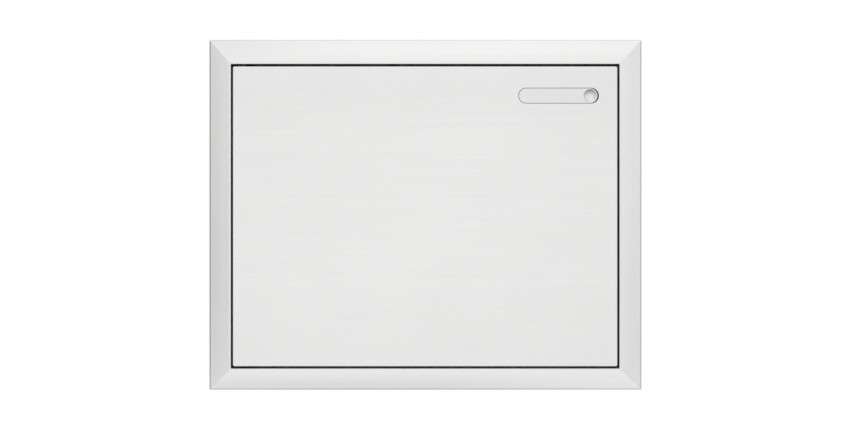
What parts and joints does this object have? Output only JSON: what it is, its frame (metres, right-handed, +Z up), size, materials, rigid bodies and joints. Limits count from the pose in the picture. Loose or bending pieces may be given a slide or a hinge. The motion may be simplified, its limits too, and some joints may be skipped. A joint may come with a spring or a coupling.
{
  "type": "access door",
  "caption": "Flush access door for an outdoor kitchen island in a bevelled trim frame, hinged at one side, with a flush push-to-open lever handle and magnetic catches.",
  "frame": {"origin": "centre of the cut-out, on the face plane of the island that the trim's back flange lies on", "axes": "+X to the right seen from the front, along the longest side; +Y from the front to the rear, into the island; +Z up"},
  "size_m": [0.6096, 0.061, 0.4937],
  "materials": {
    "satin_steel": "fine horizontal satin grain",
    "edge_steel": "plain mill finish",
    "plated_steel": "bright zinc plate",
    "spring_steel": "drawn wire, bright",
    "white_nylon": "moulded, matt",
    "grey_nylon": "moulded, dark, fine texture",
    "ferrite": "pressed ceramic magnet, matt",
    "black_rubber": "matt"
  },
  "bodies": {
    "frame": {"top_rail": "satin_steel", "bottom_rail": "satin_steel", "hinge_stile": "satin_steel", "latch_stile": "satin_steel", "corner_cleats": "edge_steel", "top_stop": "edge_steel", "bottom_stop": "edge_steel", "hinge_stop": "edge_steel", "latch_stop": "edge_steel", "upper_hinge_plate": "edge_steel", "upper_hinge_bush": "grey_nylon", "lower_hinge_plate": "edge_steel", "lower_hinge_pin": "plated_steel", "lower_thrust_washer": "grey_nylon", "catch_cases": "grey_nylon", "catch_magnets": "ferrite", "catch_poles": "plated_steel", "catch_screws": "plated_steel", "door_bumpers": "black_rubber"},
    "door": {"door_skin": "satin_steel", "door_liner": "satin_steel", "hinge_side_stiffener": "edge_steel", "latch_side_stiffener": "edge_steel", "liner_screws": "plated_steel", "door_seal": "black_rubber", "upper_pin_bracket": "edge_steel", "lower_pivot_bracket": "edge_steel", "lower_door_bush": "grey_nylon", "hinge_pin_spring": "spring_steel", "strike_plates": "plated_steel", "strike_rivets": "plated_steel", "handle_housing": "satin_steel", "handle_studs": "plated_steel", "handle_nuts": "plated_steel", "lever_pivot_pin": "plated_steel", "lever_pin_clips": "spring_steel", "lever_spring": "spring_steel", "lever_rest_pad": "black_rubber"},
    "lever": {"handle_lever": "satin_steel", "lever_bushes": "white_nylon"},
    "hinge_pin": {"upper_hinge_pin": "plated_steel", "pin_thumb_knob": "plated_steel"}
  },
  "joints": [
    {"name": "door_swing", "type": "hinge", "parent": "frame", "child": "door", "pos_m": [-0.2547, -0.008, 0], "axis": [0, 0, -1], "range_deg": [0, 110]},
    {"name": "lever_turn", "type": "hinge", "parent": "door", "child": "lever", "pos_m": [0.2129, -0.0076, 0.1685], "axis": [0, 0, 1], "range_deg": [0, 26], "stiffness_Nm_per_rad": 0.15, "springref_deg": -20.05, "deforming": ["lever_spring"]},
    {"name": "hinge_pin_draw", "type": "slide", "parent": "door", "child": "hinge_pin", "axis": [0, 0, -1], "range_m": [0, 0.0095], "stiffness_N_per_m": 500, "springref_m": -0.006, "deforming": ["hinge_pin_spring"]}
  ]
}
